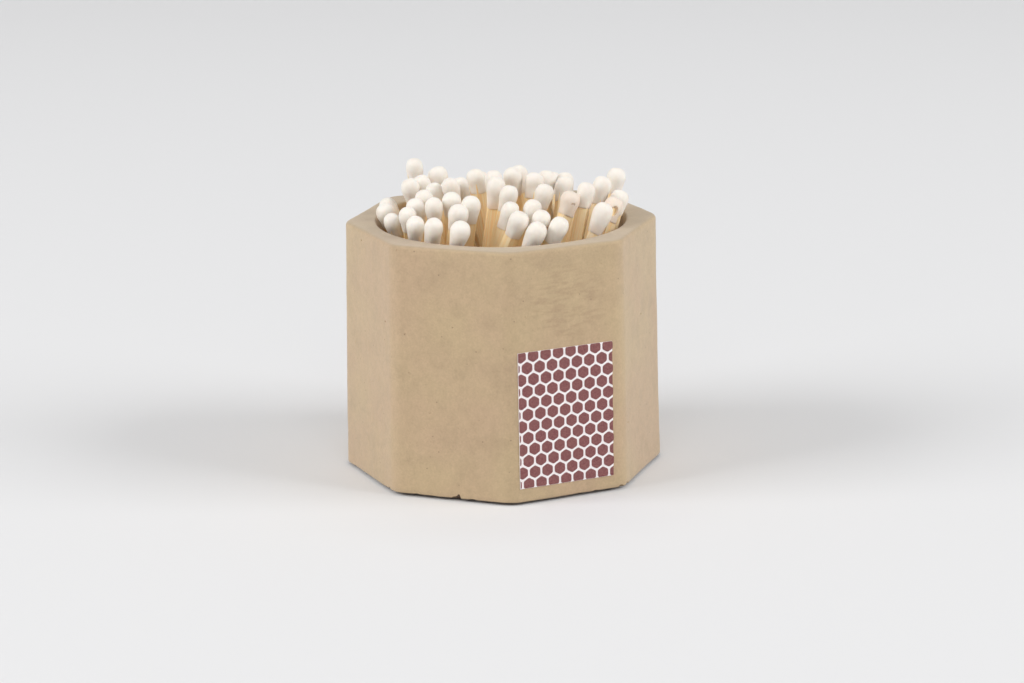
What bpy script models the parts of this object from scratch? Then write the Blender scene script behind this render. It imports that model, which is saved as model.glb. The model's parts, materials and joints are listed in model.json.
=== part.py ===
"""A match striker: an eight-sided concrete pot, a striking label and a bundle of matches.

Metres, +Z up. The pot stands on the plane z = 0 with its axis on Z, and the face that
carries the striking label looks along -Y.
"""

import math

import bmesh
import bpy
import numpy as np
from mathutils import Matrix, Vector

# Pot
POT_SIDES = 8
POT_HEIGHT = 0.0450
BASE_ACROSS_CORNERS = 0.0575
RIM_ACROSS_CORNERS = 0.0560
CORNER_RADIUS = 0.0038
BASE_EDGE_RADIUS = 0.0005
RIM_EDGE_RADIUS = 0.0007
WELL_DIAMETER = 0.0446
WELL_EDGE_RADIUS = 0.0004
WELL_FLOOR = 0.0030
WELL_FILLET = 0.0020

# Striking label: a paper sheet with raised six-sided dots of striking compound
LABEL_WIDTH = 0.0182
LABEL_HEIGHT = 0.0243
LABEL_THICKNESS = 0.0002
LABEL_ABOVE_BASE = 0.0030
LABEL_TO_THE_LEFT = 0.0004
DOT_PITCH = 0.0024
DOT_ACROSS_FLATS = 0.0020
DOT_RAISE = 0.0001
FIRST_DOT_FROM_LEFT = 0.0005
FIRST_DOT_FROM_TOP = 0.0007
BARE_BORDER = 0.0001

# Matches
MATCH_LENGTH = 0.0500
SPLINT_WIDTH = 0.0021
HEAD_LENGTH = 0.0052
HEAD_DIAMETER = 0.0033
LIFT_TRAVEL = 0.0600

# Clearances and cuts
SEAT_GAP = 0.0003
MATCH_GAP = 0.0003
OVERRUN = 0.0010

# Round counts
CORNER_SEGMENTS = 4
EDGE_SEGMENTS = 2
WELL_STEPS = 64
WELL_ARC_STEPS = 3
HEAD_STEPS = 12

# The outline of a match head from its tip down: share of its radius, share of its length
HEAD_OUTLINE_SHARES = (
    (0.00, 1.00),
    (0.55, 0.95),
    (0.88, 0.82),
    (1.00, 0.60),
    (0.97, 0.34),
    (0.91, 0.12),
    (0.91, 0.00),
    (0.00, 0.00),
)

# The bundle as it was dropped in, seen from a viewer who stands left of the label: where each
# head and each foot lies to the viewer's right and away from the viewer, as shares of the
# radius of the well. The matches lean round the pot, so a head lies well beside its foot.
BUNDLE_TURN = math.radians(-25.3)
BUNDLE_SHARES = (
    # Front row, left to right
    ((-0.91, -0.45), (-0.36, 0.69)),
    ((-0.68, -0.67), (-0.77, 0.34)),
    ((-0.55, -0.74), (-0.79, 0.16)),
    ((-0.33, -0.86), (-0.82, -0.02)),
    ((0.14, -0.70), (-0.66, -0.32)),
    ((0.31, -0.75), (-0.65, -0.49)),
    ((0.40, -0.77), (-0.52, -0.60)),
    ((0.80, -0.38), (-0.03, -0.73)),
    ((0.87, -0.25), (0.17, -0.74)),
    ((0.97, -0.02), (0.36, -0.66)),
    # Second row, left to right
    ((-0.97, -0.07), (-0.24, 0.80)),
    ((-0.79, -0.43), (-0.61, 0.43)),
    ((-0.69, -0.30), (-0.39, 0.46)),
    ((-0.51, -0.40), (-0.50, 0.30)),
    ((-0.33, -0.61), (-0.65, 0.10)),
    ((-0.25, -0.43), (-0.50, 0.14)),
    ((0.05, -0.26), (-0.44, -0.06)),
    ((0.20, -0.60), (-0.47, -0.28)),
    ((0.25, -0.71), (-0.52, -0.42)),
    ((0.56, -0.24), (-0.10, -0.55)),
    ((0.70, -0.16), (0.12, -0.46)),
    # Middle, left to right
    ((-0.61, -0.19), (-0.21, 0.42)),
    ((-0.51, 0.10), (0.00, 0.56)),
    ((-0.39, -0.39), (-0.36, 0.30)),
    ((-0.40, 0.02), (0.12, 0.29)),
    ((-0.17, 0.18), (0.14, 0.40)),
    ((-0.03, 0.12), (0.05, 0.16)),
    ((0.12, -0.56), (-0.54, -0.15)),
    ((-0.04, -0.12), (-0.33, 0.05)),
    ((0.23, 0.20), (-0.09, -0.14)),
    ((0.35, -0.10), (-0.23, -0.41)),
    ((0.37, 0.48), (0.14, -0.17)),
    ((0.54, 0.38), (0.42, -0.33)),
    ((0.69, 0.17), (0.10, -0.61)),
    # Back, left to right
    ((-0.88, 0.12), (-0.07, 0.83)),
    ((-0.82, 0.22), (-0.28, 0.56)),
    ((-0.62, 0.30), (-0.12, 0.58)),
    ((-0.68, 0.56), (-0.60, 0.56)),
    ((-0.49, 0.47), (-0.08, 0.71)),
    ((-0.51, 0.72), (0.24, 0.77)),
    ((-0.33, 0.42), (0.42, 0.64)),
    ((-0.18, 0.42), (0.52, 0.40)),
    ((-0.20, 0.66), (0.54, 0.54)),
    ((-0.42, 0.20), (0.26, 0.48)),
    ((0.10, 0.25), (0.05, 0.42)),
    ((0.22, 0.35), (0.62, 0.31)),
    ((0.50, 0.42), (0.60, -0.30)),
    ((0.42, 0.80), (0.83, -0.12)),
    ((0.87, 0.00), (0.32, -0.10)),
    ((0.97, 0.22), (0.56, 0.00)),
)

# How the bundle settles from those places until no match touches another
SETTLE_ROUNDS = 4000
PULL_SHARE = 0.05
PULL_FADES_BY_SHARE = 0.5
PUSH_SHARE = 0.6
STEEPEST_LEAN_SHARE = 0.75
SETTLED_WITHIN = 0.000001

# Turn of each splint about its own length, from one match to the next
SPLINT_TURN_STEP = math.radians(137.5)

# Sizes that follow
WELL_RADIUS = WELL_DIAMETER / 2
HEAD_RADIUS = HEAD_DIAMETER / 2
NECK_HEIGHT = MATCH_LENGTH - HEAD_LENGTH
HEAD_CENTRE_HEIGHT = MATCH_LENGTH - HEAD_LENGTH / 2
SPLINT_HALF_DIAGONAL = SPLINT_WIDTH / math.sqrt(2)
HALF_SIDE_ANGLE = math.pi / POT_SIDES
BASE_ACROSS_FLATS = BASE_ACROSS_CORNERS * math.cos(HALF_SIDE_ANGLE)
RIM_ACROSS_FLATS = RIM_ACROSS_CORNERS * math.cos(HALF_SIDE_ANGLE)
FACE_DRAFT = math.atan2((BASE_ACROSS_FLATS - RIM_ACROSS_FLATS) / 2, POT_HEIGHT)


# Scene

def clear_scene():
    """Remove every object that is already there."""
    for thing in list(bpy.data.objects):
        bpy.data.objects.remove(thing, do_unlink=True)


def new_collection(name):
    """A collection under the scene's own."""
    collection = bpy.data.collections.new(name)
    bpy.context.scene.collection.children.link(collection)
    return collection


def add_object(name, mesh, collection):
    """An object that shows a mesh."""
    thing = bpy.data.objects.new(name, mesh)
    collection.objects.link(thing)
    return thing


def mesh_from(builder, name):
    """A mesh from a bmesh that is no longer needed."""
    mesh = bpy.data.meshes.new(name)
    builder.to_mesh(mesh)
    builder.free()
    return mesh


def finished_mesh(thing, name):
    """The mesh of an object with its modifiers worked out."""
    bpy.context.view_layer.update()
    graph = bpy.context.evaluated_depsgraph_get()
    mesh = bpy.data.meshes.new_from_object(thing.evaluated_get(graph), depsgraph=graph)
    mesh.name = name
    return mesh


def make_cutter(thing):
    """Keep a tool body out of renders and out of the part."""
    thing.hide_render = True
    thing.display_type = "WIRE"


def add_boolean(thing, operation, tool):
    """Cut or join a body with another."""
    boolean = thing.modifiers.new(operation.lower(), "BOOLEAN")
    boolean.operation = operation
    boolean.solver = "EXACT"
    boolean.object = tool


# Materials

def linear(channel):
    """One sRGB channel, 0 to 1, as linear light."""
    if channel <= 0.04045:
        return channel / 12.92
    return ((channel + 0.055) / 1.055) ** 2.4


def make_material(name, srgb, roughness):
    """A plain non-metal with an sRGB colour given as 0 to 255."""
    material = bpy.data.materials.new(name)
    material.use_nodes = True
    colour = [linear(channel / 255) for channel in srgb]
    shader = material.node_tree.nodes["Principled BSDF"]
    shader.inputs["Base Color"].default_value = (*colour, 1)
    shader.inputs["Roughness"].default_value = roughness
    shader.inputs["Metallic"].default_value = 0
    return material


# Turned shapes

def arc_points(centre_x, centre_z, radius, from_angle, to_angle, steps):
    """Points along an arc in the XZ plane, both ends included."""
    angles = [from_angle + (to_angle - from_angle) * step / steps for step in range(steps + 1)]
    return [(centre_x + radius * math.cos(angle), centre_z + radius * math.sin(angle)) for angle in angles]


def turned_body(name, outline, steps, collection):
    """A profile of (radius, height) points, listed from the top down, turned about Z."""
    builder = bmesh.new()
    corners = [builder.verts.new((radius, 0, height)) for radius, height in outline]
    for upper, lower in zip(corners, corners[1:]):
        builder.edges.new((upper, lower))
    thing = add_object(name, mesh_from(builder, name), collection)
    screw = thing.modifiers.new("turn", "SCREW")
    screw.axis = "Z"
    screw.steps = steps
    screw.render_steps = steps
    screw.use_merge_vertices = True
    screw.merge_threshold = SETTLED_WITHIN
    return thing


# Pot

def pot_body():
    """The eight-sided cast with its drafted faces, worn base edge and eased rim."""
    builder = bmesh.new()
    bmesh.ops.create_cone(
        builder,
        cap_ends=True,
        segments=POT_SIDES,
        radius1=BASE_ACROSS_CORNERS / 2,
        radius2=RIM_ACROSS_CORNERS / 2,
        depth=POT_HEIGHT,
    )
    stand_and_face_label = Matrix.Translation((0, 0, POT_HEIGHT / 2)) @ Matrix.Rotation(HALF_SIDE_ANGLE, 4, "Z")
    bmesh.ops.transform(builder, matrix=stand_and_face_label, verts=builder.verts)

    corner_offset = CORNER_RADIUS * math.tan(HALF_SIDE_ANGLE)
    upright_edges = [edge for edge in builder.edges if lowest(edge) < POT_HEIGHT / 2 < highest(edge)]
    round_off(builder, upright_edges, corner_offset, CORNER_SEGMENTS)
    base_edges = [edge for edge in builder.edges if highest(edge) < POT_HEIGHT / 2]
    round_off(builder, base_edges, BASE_EDGE_RADIUS, EDGE_SEGMENTS)
    rim_edges = [edge for edge in builder.edges if lowest(edge) > POT_HEIGHT / 2]
    round_off(builder, rim_edges, RIM_EDGE_RADIUS, EDGE_SEGMENTS)
    return mesh_from(builder, "pot")


def lowest(edge):
    """Height of an edge's lower end."""
    return min(corner.co.z for corner in edge.verts)


def highest(edge):
    """Height of an edge's upper end."""
    return max(corner.co.z for corner in edge.verts)


def round_off(builder, edges, offset, segments):
    """Round edges by a distance along their faces."""
    bmesh.ops.bevel(
        builder,
        geom=edges,
        offset=offset,
        offset_type="OFFSET",
        segments=segments,
        profile=0.5,
        affect="EDGES",
        clamp_overlap=True,
    )


def well_outline():
    """The well from above the rim down to the middle of its floor."""
    eased_rim = arc_points(
        WELL_RADIUS + WELL_EDGE_RADIUS, POT_HEIGHT - WELL_EDGE_RADIUS,
        WELL_EDGE_RADIUS, math.pi / 2, math.pi, WELL_ARC_STEPS,
    )
    fillet = arc_points(
        WELL_RADIUS - WELL_FILLET, WELL_FLOOR + WELL_FILLET,
        WELL_FILLET, 0, -math.pi / 2, WELL_ARC_STEPS,
    )
    above_rim = POT_HEIGHT + OVERRUN
    opening = [(0, above_rim), (WELL_RADIUS + WELL_EDGE_RADIUS, above_rim)]
    return opening + eased_rim + fillet + [(0, WELL_FLOOR)]


def make_pot(parts, cutters, concrete):
    """The cast pot with its round well."""
    pot = add_object("pot", pot_body(), parts)
    pot.data.materials.append(concrete)
    well = turned_body("well_cutter", well_outline(), WELL_STEPS, cutters)
    make_cutter(well)
    add_boolean(pot, "DIFFERENCE", well)
    return pot


# Striking label

def box_mesh(name, width, depth, height):
    """A block about its own middle."""
    builder = bmesh.new()
    bmesh.ops.create_cube(builder, size=1, matrix=Matrix.Diagonal((width, depth, height, 1)))
    return mesh_from(builder, name)


def dot_centres():
    """Middles of the dots over the sheet, seen from its front, from its middle."""
    row_pitch = DOT_PITCH * math.sin(math.pi / 3)
    rows = math.ceil(LABEL_HEIGHT / row_pitch) + 1
    columns = math.ceil(LABEL_WIDTH / DOT_PITCH) + 2
    for row in range(rows):
        stagger = DOT_PITCH / 2 if row % 2 else 0
        height = LABEL_HEIGHT / 2 - FIRST_DOT_FROM_TOP - row * row_pitch
        for column in range(columns):
            across = FIRST_DOT_FROM_LEFT + stagger + (column - 1) * DOT_PITCH - LABEL_WIDTH / 2
            if reaches_sheet(across, height):
                yield across, height


def reaches_sheet(across, height):
    """Whether a dot with this middle covers some of the sheet inside its bare border."""
    half_width = LABEL_WIDTH / 2 - BARE_BORDER
    half_height = LABEL_HEIGHT / 2 - BARE_BORDER
    dot_reach = DOT_ACROSS_FLATS / 2 - BARE_BORDER
    return abs(across) < half_width + dot_reach and abs(height) < half_height + dot_reach


def dots_mesh():
    """All dots as six-sided studs, from inside the sheet out to the striking surface."""
    stud_depth = LABEL_THICKNESS / 2 + DOT_RAISE
    corner_radius = DOT_ACROSS_FLATS / math.sqrt(3)
    middle_depth = -(LABEL_THICKNESS + DOT_RAISE) + stud_depth / 2
    lay_flat = Matrix.Rotation(math.pi / 2, 4, "X")
    builder = bmesh.new()
    for across, height in dot_centres():
        bmesh.ops.create_cone(
            builder,
            cap_ends=True,
            segments=6,
            radius1=corner_radius,
            radius2=corner_radius,
            depth=stud_depth,
            matrix=Matrix.Translation((across, middle_depth, height)) @ lay_flat,
        )
    return mesh_from(builder, "dots")


def make_label(parts, cutters, paper, compound):
    """The sheet with its dots, laid on the drafted face that looks along -Y."""
    window = add_object(
        "label_window",
        box_mesh("label_window", LABEL_WIDTH - 2 * BARE_BORDER, OVERRUN, LABEL_HEIGHT - 2 * BARE_BORDER),
        cutters,
    )
    dots = add_object("label_dots", dots_mesh(), cutters)
    add_boolean(dots, "INTERSECT", window)
    label = add_object("strike_label", box_mesh("strike_label", LABEL_WIDTH, LABEL_THICKNESS, LABEL_HEIGHT), parts)
    label.data.transform(Matrix.Translation((0, -LABEL_THICKNESS / 2, 0)))
    add_boolean(label, "UNION", dots)

    up_face = Vector((0, math.sin(FACE_DRAFT), math.cos(FACE_DRAFT)))
    out_of_face = Vector((0, -math.cos(FACE_DRAFT), math.sin(FACE_DRAFT)))
    foot_of_face = Vector((-LABEL_TO_THE_LEFT, -BASE_ACROSS_FLATS / 2, 0))
    place = foot_of_face + up_face * (LABEL_ABOVE_BASE + LABEL_HEIGHT / 2) + out_of_face * SEAT_GAP
    for thing in (label, dots, window):
        thing.location = place
        thing.rotation_euler = (-FACE_DRAFT, 0, 0)
    make_cutter(window)
    make_cutter(dots)

    label.data = finished_mesh(label, "strike_label")
    label.modifiers.clear()
    label.data.materials.clear()
    label.data.materials.append(paper)
    label.data.materials.append(compound)
    for face in label.data.polygons:
        face.material_index = 1 if face.center.y < -LABEL_THICKNESS - DOT_RAISE / 4 else 0
    return label


# Matches

def match_mesh(cutters, wood, compound):
    """A square splint with its dipped head, foot at the origin and standing along +Z."""
    splint = add_object("splint", box_mesh("splint", SPLINT_WIDTH, SPLINT_WIDTH, HEAD_CENTRE_HEIGHT), cutters)
    splint.data.transform(Matrix.Translation((0, 0, HEAD_CENTRE_HEIGHT / 2)))
    outline = [
        (HEAD_RADIUS * radius_share, NECK_HEIGHT + HEAD_LENGTH * height_share)
        for radius_share, height_share in HEAD_OUTLINE_SHARES
    ]
    head = turned_body("match_head", outline, HEAD_STEPS, cutters)
    add_boolean(splint, "UNION", head)
    mesh = finished_mesh(splint, "match")
    mesh.materials.clear()
    mesh.materials.append(wood)
    mesh.materials.append(compound)
    for face in mesh.polygons:
        face.material_index = 1 if face.center.z > NECK_HEIGHT - SEAT_GAP else 0
    make_cutter(splint)
    make_cutter(head)
    return mesh


def plan_places(which):
    """The heads' or the feet's first places in the pot's own plan, as an array."""
    shares = np.array([places[which] for places in BUNDLE_SHARES])
    turn = np.array([
        [math.cos(BUNDLE_TURN), -math.sin(BUNDLE_TURN)],
        [math.sin(BUNDLE_TURN), math.cos(BUNDLE_TURN)],
    ])
    return shares @ turn.T * WELL_RADIUS


def match_lines(heads, feet):
    """Foot points and unit directions of all matches, from the plan places of heads and feet."""
    across = heads - feet
    reach = np.maximum(np.linalg.norm(across, axis=1), SETTLED_WITHIN)
    lean = np.minimum(reach / HEAD_CENTRE_HEIGHT, STEEPEST_LEAN_SHARE)
    foot_height = WELL_FLOOR + SEAT_GAP + SPLINT_HALF_DIAGONAL * lean
    foot_points = np.column_stack([feet, foot_height])
    directions = np.column_stack([across * (lean / reach)[:, None], np.sqrt(1 - lean**2)])
    return foot_points, directions


def nearest_shares(starts_a, runs_a, starts_b, runs_b):
    """Shares along pairs of straight runs at which each pair comes nearest."""
    between = starts_a - starts_b
    aa = np.sum(runs_a * runs_a, axis=1)
    bb = np.sum(runs_b * runs_b, axis=1)
    ab = np.sum(runs_a * runs_b, axis=1)
    a_between = np.sum(runs_a * between, axis=1)
    b_between = np.sum(runs_b * between, axis=1)
    spread = aa * bb - ab * ab
    crossing = spread > np.finfo(float).eps * aa * bb
    along_a = np.where(crossing, (ab * b_between - bb * a_between) / np.where(crossing, spread, 1), 0)
    along_b = np.clip((ab * np.clip(along_a, 0, 1) + b_between) / bb, 0, 1)
    along_a = np.clip((ab * along_b - a_between) / aa, 0, 1)
    return along_a, along_b


def push_apart(heads, feet, pairs):
    """Move matches apart in plan where they come too near. Returns the worst shortfall.

    Each match is two round rods: the splint, and the head with the way it is drawn up along.
    """
    foot_points, directions = match_lines(heads, feet)
    count = len(heads)
    starts = np.concatenate([foot_points, foot_points + directions * NECK_HEIGHT])
    runs = np.concatenate([directions * NECK_HEIGHT, directions * (HEAD_LENGTH + LIFT_TRAVEL)])
    radii = np.repeat([SPLINT_HALF_DIAGONAL, HEAD_RADIUS], count)
    rod_a, rod_b = pairs
    along_a, along_b = nearest_shares(starts[rod_a], runs[rod_a], starts[rod_b], runs[rod_b])
    point_a = starts[rod_a] + runs[rod_a] * along_a[:, None]
    point_b = starts[rod_b] + runs[rod_b] * along_b[:, None]
    apart = point_a - point_b
    shortfall = radii[rod_a] + radii[rod_b] + MATCH_GAP - np.linalg.norm(apart, axis=1)
    near = shortfall > 0
    if not near.any():
        return 0
    sideways = apart[near, :2]
    sideways /= np.maximum(np.linalg.norm(sideways, axis=1), SETTLED_WITHIN)[:, None]
    step = sideways * (shortfall[near] * PUSH_SHARE / 2)[:, None]
    for rods, points, sign in ((rod_a[near], point_a[near], 1), (rod_b[near], point_b[near], -1)):
        match = rods % count
        rise = np.sum((points - foot_points[match]) * directions[match], axis=1) / HEAD_CENTRE_HEIGHT
        weight = rise**2 + (1 - rise) ** 2
        np.add.at(heads, match, sign * step * (rise / weight)[:, None])
        np.add.at(feet, match, sign * step * ((1 - rise) / weight)[:, None])
    return shortfall.max()


def keep_in_well(heads, feet):
    """Keep feet off the fillet and axes off the rim. Returns the worst overstep."""
    foot_limit = WELL_RADIUS - WELL_FILLET - SPLINT_HALF_DIAGONAL - SEAT_GAP
    foot_radius = np.linalg.norm(feet, axis=1)
    feet *= np.minimum(1, foot_limit / np.maximum(foot_radius, SETTLED_WITHIN))[:, None]
    foot_points, directions = match_lines(heads, feet)
    rise = (POT_HEIGHT - foot_points[:, 2]) / directions[:, 2]
    at_rim = foot_points[:, :2] + directions[:, :2] * rise[:, None]
    rim_limit = WELL_RADIUS - (HEAD_RADIUS + MATCH_GAP) / directions[:, 2]
    rim_radius = np.linalg.norm(at_rim, axis=1)
    overstep = np.maximum(rim_radius - rim_limit, 0)
    heads -= at_rim * (overstep / np.maximum(rim_radius, SETTLED_WITHIN))[:, None]
    return overstep.max()


def settled_matches():
    """Foot points and directions of the bundle once no match touches another or the well."""
    wanted_heads = plan_places(0)
    wanted_feet = plan_places(1)
    heads = wanted_heads.copy()
    feet = wanted_feet.copy()
    count = len(heads)
    rod_a, rod_b = np.triu_indices(2 * count, 1)
    unlike = rod_a % count != rod_b % count
    pairs = (rod_a[unlike], rod_b[unlike])
    for settle_round in range(SETTLE_ROUNDS):
        pull = PULL_SHARE * max(0, 1 - settle_round / (SETTLE_ROUNDS * PULL_FADES_BY_SHARE))
        heads += (wanted_heads - heads) * pull
        feet += (wanted_feet - feet) * pull
        shortfall = push_apart(heads, feet, pairs)
        overstep = keep_in_well(heads, feet)
        if pull == 0 and max(shortfall, overstep) < SETTLED_WITHIN:
            break
    print(f"bundle settled after {settle_round + 1} rounds, worst shortfall {shortfall:.1e} m")
    return match_lines(heads, feet)


def seat_on_floor(foot_point, direction, turn):
    """Placement of a match: turned about its length, leaned over and slid down to the floor."""
    lean = Vector((0, 0, 1)).rotation_difference(direction).to_matrix()
    rotation = lean @ Matrix.Rotation(turn, 3, "Z")
    half = SPLINT_WIDTH / 2
    foot_corners = [rotation @ Vector((x, y, 0)) for x in (-half, half) for y in (-half, half)]
    lowest_corner = foot_point.z + min(corner.z for corner in foot_corners)
    slide = (WELL_FLOOR + SEAT_GAP - lowest_corner) / direction.z
    return Matrix.Translation(foot_point + direction * slide) @ rotation.to_4x4()


def make_matches(parts, cutters, wood, compound):
    """One object for each match, all with the same mesh, with the origin at the foot."""
    mesh = match_mesh(cutters, wood, compound)
    foot_points, directions = settled_matches()
    for number, (foot_point, direction) in enumerate(zip(foot_points, directions)):
        match = add_object(f"match_{number + 1:02d}", mesh, parts)
        match.matrix_world = seat_on_floor(Vector(foot_point), Vector(direction), number * SPLINT_TURN_STEP)


# The whole striker

def shade(thing):
    """Smooth faces that meet at a shallow angle."""
    thing.data.shade_smooth()
    thing.data.set_sharp_from_angle(angle=math.radians(40))


def build():
    """Make every part of the striker."""
    clear_scene()
    parts = new_collection("match_striker")
    cutters = new_collection("cutters")
    concrete = make_material("cast concrete", (196, 171, 138), 0.85)
    paper = make_material("label paper", (238, 232, 230), 0.6)
    striking = make_material("striking compound", (140, 85, 82), 0.8)
    wood = make_material("splint wood", (226, 178, 112), 0.6)
    dip = make_material("match head compound", (236, 230, 222), 0.7)
    pot = make_pot(parts, cutters, concrete)
    make_label(parts, cutters, paper, striking)
    make_matches(parts, cutters, wood, dip)
    shade(pot)


build()
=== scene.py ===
# %% [markdown]
# # Dressing a concrete match striker
#
# A match striker is a heavy little pot for loose matches, with a patch on its side to strike them
# on. The engineering model already has every piece at its real size, on its own joint, but its
# surfaces are plain. This lesson models each visible piece again, finer, in the same place, and
# gives it the finish of the real material: cast concrete, printed paper, poplar wood and dipped
# match compound.
#
# Everything is in metres with +Z up, the pot stands on z = 0, and the label looks along -Y.

# %% Load the frame
import json
import math
import random

import bmesh
import bpy
import numpy as np
from mathutils import Matrix, Quaternion, Vector


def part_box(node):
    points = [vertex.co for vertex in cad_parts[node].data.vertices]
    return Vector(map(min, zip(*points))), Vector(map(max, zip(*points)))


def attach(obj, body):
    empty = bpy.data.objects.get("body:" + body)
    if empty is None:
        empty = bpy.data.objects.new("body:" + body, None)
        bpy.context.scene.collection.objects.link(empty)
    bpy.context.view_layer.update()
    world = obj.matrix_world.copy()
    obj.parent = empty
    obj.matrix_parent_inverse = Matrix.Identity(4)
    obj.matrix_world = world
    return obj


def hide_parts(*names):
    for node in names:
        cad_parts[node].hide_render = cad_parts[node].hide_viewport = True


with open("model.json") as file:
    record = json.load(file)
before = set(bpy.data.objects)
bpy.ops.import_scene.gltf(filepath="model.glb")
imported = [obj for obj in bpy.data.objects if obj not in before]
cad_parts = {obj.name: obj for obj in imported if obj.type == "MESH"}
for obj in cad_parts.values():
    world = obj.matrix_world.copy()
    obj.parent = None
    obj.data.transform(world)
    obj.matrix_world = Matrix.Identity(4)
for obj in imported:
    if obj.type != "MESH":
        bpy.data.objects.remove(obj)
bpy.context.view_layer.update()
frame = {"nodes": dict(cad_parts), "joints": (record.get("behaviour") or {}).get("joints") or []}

MM = 0.001

# %% [markdown]
# ## The camera
#
# The picture was taken from a little above the table, with a long lens some 60 cm away, which
# keeps the upright edges of the pot nearly parallel. The viewer stands left of the label, so the
# label's face is seen at an angle. A camera on a sphere round the pot says that with four numbers:
# its turn about the pot, its height angle, its distance and its lens.

# %% Camera
CAMERA_AZIMUTH = math.radians(-25.33)
CAMERA_ELEVATION = math.radians(14.92)
CAMERA_DISTANCE = 593.2 * MM
CAMERA_LENS_MM = 115.7
CAMERA_ROLL = math.radians(-0.72)
AIM_TO_THE_RIGHT = 1.69 * MM
AIM_HEIGHT = 22.09 * MM
NEAREST_SEEN = 10 * MM

flat_reach = math.cos(CAMERA_ELEVATION)
toward_viewer = Vector((
    math.sin(CAMERA_AZIMUTH) * flat_reach,
    -math.cos(CAMERA_AZIMUTH) * flat_reach,
    math.sin(CAMERA_ELEVATION),
))
view_right = Vector((math.cos(CAMERA_AZIMUTH), math.sin(CAMERA_AZIMUTH), 0))
aim = view_right * AIM_TO_THE_RIGHT + Vector((0, 0, AIM_HEIGHT))

bpy.ops.object.camera_add(location=aim + toward_viewer * CAMERA_DISTANCE)
camera = bpy.context.object
camera.name = "camera"
camera.data.lens = CAMERA_LENS_MM
camera.data.clip_start = NEAREST_SEEN
camera.rotation_mode = "QUATERNION"
level_view = (-toward_viewer).to_track_quat("-Z", "Y")
camera.rotation_quaternion = level_view @ Quaternion((0, 0, 1), CAMERA_ROLL)
bpy.context.scene.camera = camera
print("camera stands at, mm:", [round(value / MM) for value in camera.location])

# %% [markdown]
# ## Working by hand, in code
#
# Blender's operators act on whatever is selected, so each step begins by selecting one piece, and
# then the faces or edges of it that the step is about, found by where they are.

# %% Selecting pieces, faces and edges
SELECT_MODES = {"faces": "FACE", "edges": "EDGE"}
NEAR = 0.01 * MM
SMOOTH_BELOW = math.radians(35)


def work_on(piece):
    """Make a piece the only one that is selected, and active."""
    bpy.ops.object.select_all(action="DESELECT")
    piece.select_set(True)
    bpy.context.view_layer.objects.active = piece


def pick(piece, kind, wanted):
    """In edit mode, select only the faces or edges that pass a test, and count them."""
    bpy.ops.mesh.select_mode(type=SELECT_MODES[kind])
    bpy.ops.mesh.select_all(action="DESELECT")
    shape = bmesh.from_edit_mesh(piece.data)
    chosen = [element for element in getattr(shape, kind) if wanted(element)]
    for element in chosen:
        element.select_set(True)
    bmesh.update_edit_mesh(piece.data)
    return len(chosen)


def heights(element):
    """The lowest and highest z of an edge's or a face's corners."""
    levels = [corner.co.z for corner in element.verts]
    return min(levels), max(levels)


def height_span(element):
    """How much of the height an edge or a face takes up."""
    low, high = heights(element)
    return high - low


def apply_modifiers(piece):
    """Apply every modifier of a piece, from the top down."""
    work_on(piece)
    for modifier in list(piece.modifiers):
        bpy.ops.object.modifier_apply(modifier=modifier.name)


def copied(piece, name):
    """A copy of a piece with a mesh of its own."""
    twin = piece.copy()
    twin.data = piece.data.copy()
    twin.name = name
    bpy.context.scene.collection.objects.link(twin)
    return twin


def joined(pieces):
    """Join several pieces into the first of them."""
    work_on(pieces[0])
    for piece in pieces:
        piece.select_set(True)
    bpy.ops.object.join()
    return pieces[0]


def shade_smooth(piece):
    """Shade a piece smooth, but for its sharp edges."""
    work_on(piece)
    bpy.ops.object.shade_smooth_by_angle(angle=SMOOTH_BELOW)


def turned(name, profile, steps):
    """A profile of radii and heights, spun about the z axis as on a lathe."""
    mesh = bpy.data.meshes.new(name)
    edges = [(point, point + 1) for point in range(len(profile) - 1)]
    mesh.from_pydata([(radius, 0, height) for radius, height in profile], edges, [])
    piece = bpy.data.objects.new(name, mesh)
    bpy.context.scene.collection.objects.link(piece)
    work_on(piece)
    bpy.ops.object.mode_set(mode="EDIT")
    bpy.ops.mesh.select_all(action="SELECT")
    bpy.ops.mesh.spin(steps=steps, angle=2 * math.pi, center=(0, 0, 0), axis=(0, 0, 1))
    bpy.ops.mesh.select_all(action="SELECT")
    bpy.ops.mesh.remove_doubles(threshold=NEAR)
    bpy.ops.object.mode_set(mode="OBJECT")
    return piece


def face_outward():
    """In edit mode, select all faces and turn them outward."""
    bpy.ops.mesh.select_all(action="SELECT")
    bpy.ops.mesh.normals_make_consistent(inside=False)


# %% Clouds that push a surface in and out
def add_waves(piece, name, size, depth, group="", direction="NORMAL", rest_level=0.5):
    """A Displace modifier driven by cloud noise of a given size, fixed in space."""
    clouds = bpy.data.textures.new(name, "CLOUDS")
    clouds.noise_scale = size
    waves = piece.modifiers.new(name, "DISPLACE")
    waves.texture = clouds
    waves.texture_coords = "GLOBAL"
    waves.strength = depth
    waves.direction = direction
    waves.mid_level = rest_level
    waves.vertex_group = group
    return waves


# %% [markdown]
# ## The pot's sizes
#
# The pot was cast upside down in a flexible eight-sided mould, with a round core for the well. The
# faces lean in a little towards the rim, its upright corners and its rim are soft, and it stands on
# the middle of its underside, so a thin dark gap runs round under its crisp base edge. The main
# sizes are read from the frame, so that the dressed pot fits the engineering model.

# %% The pot's sizes, read from the frame
SIDES = 8
CORNER_RADIUS = 3.8 * MM
RIM_DRAW_IN = 0.69 * MM
RIM_EDGE_RADIUS = 0.7 * MM
WELL_EDGE_RADIUS = 0.4 * MM
BASE_EDGE_RADIUS = 0.2 * MM
BASE_GAP = 0.5 * MM
BASE_GAP_REACH = 2.8 * MM
WELL_FILLET = 2.0 * MM

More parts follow.
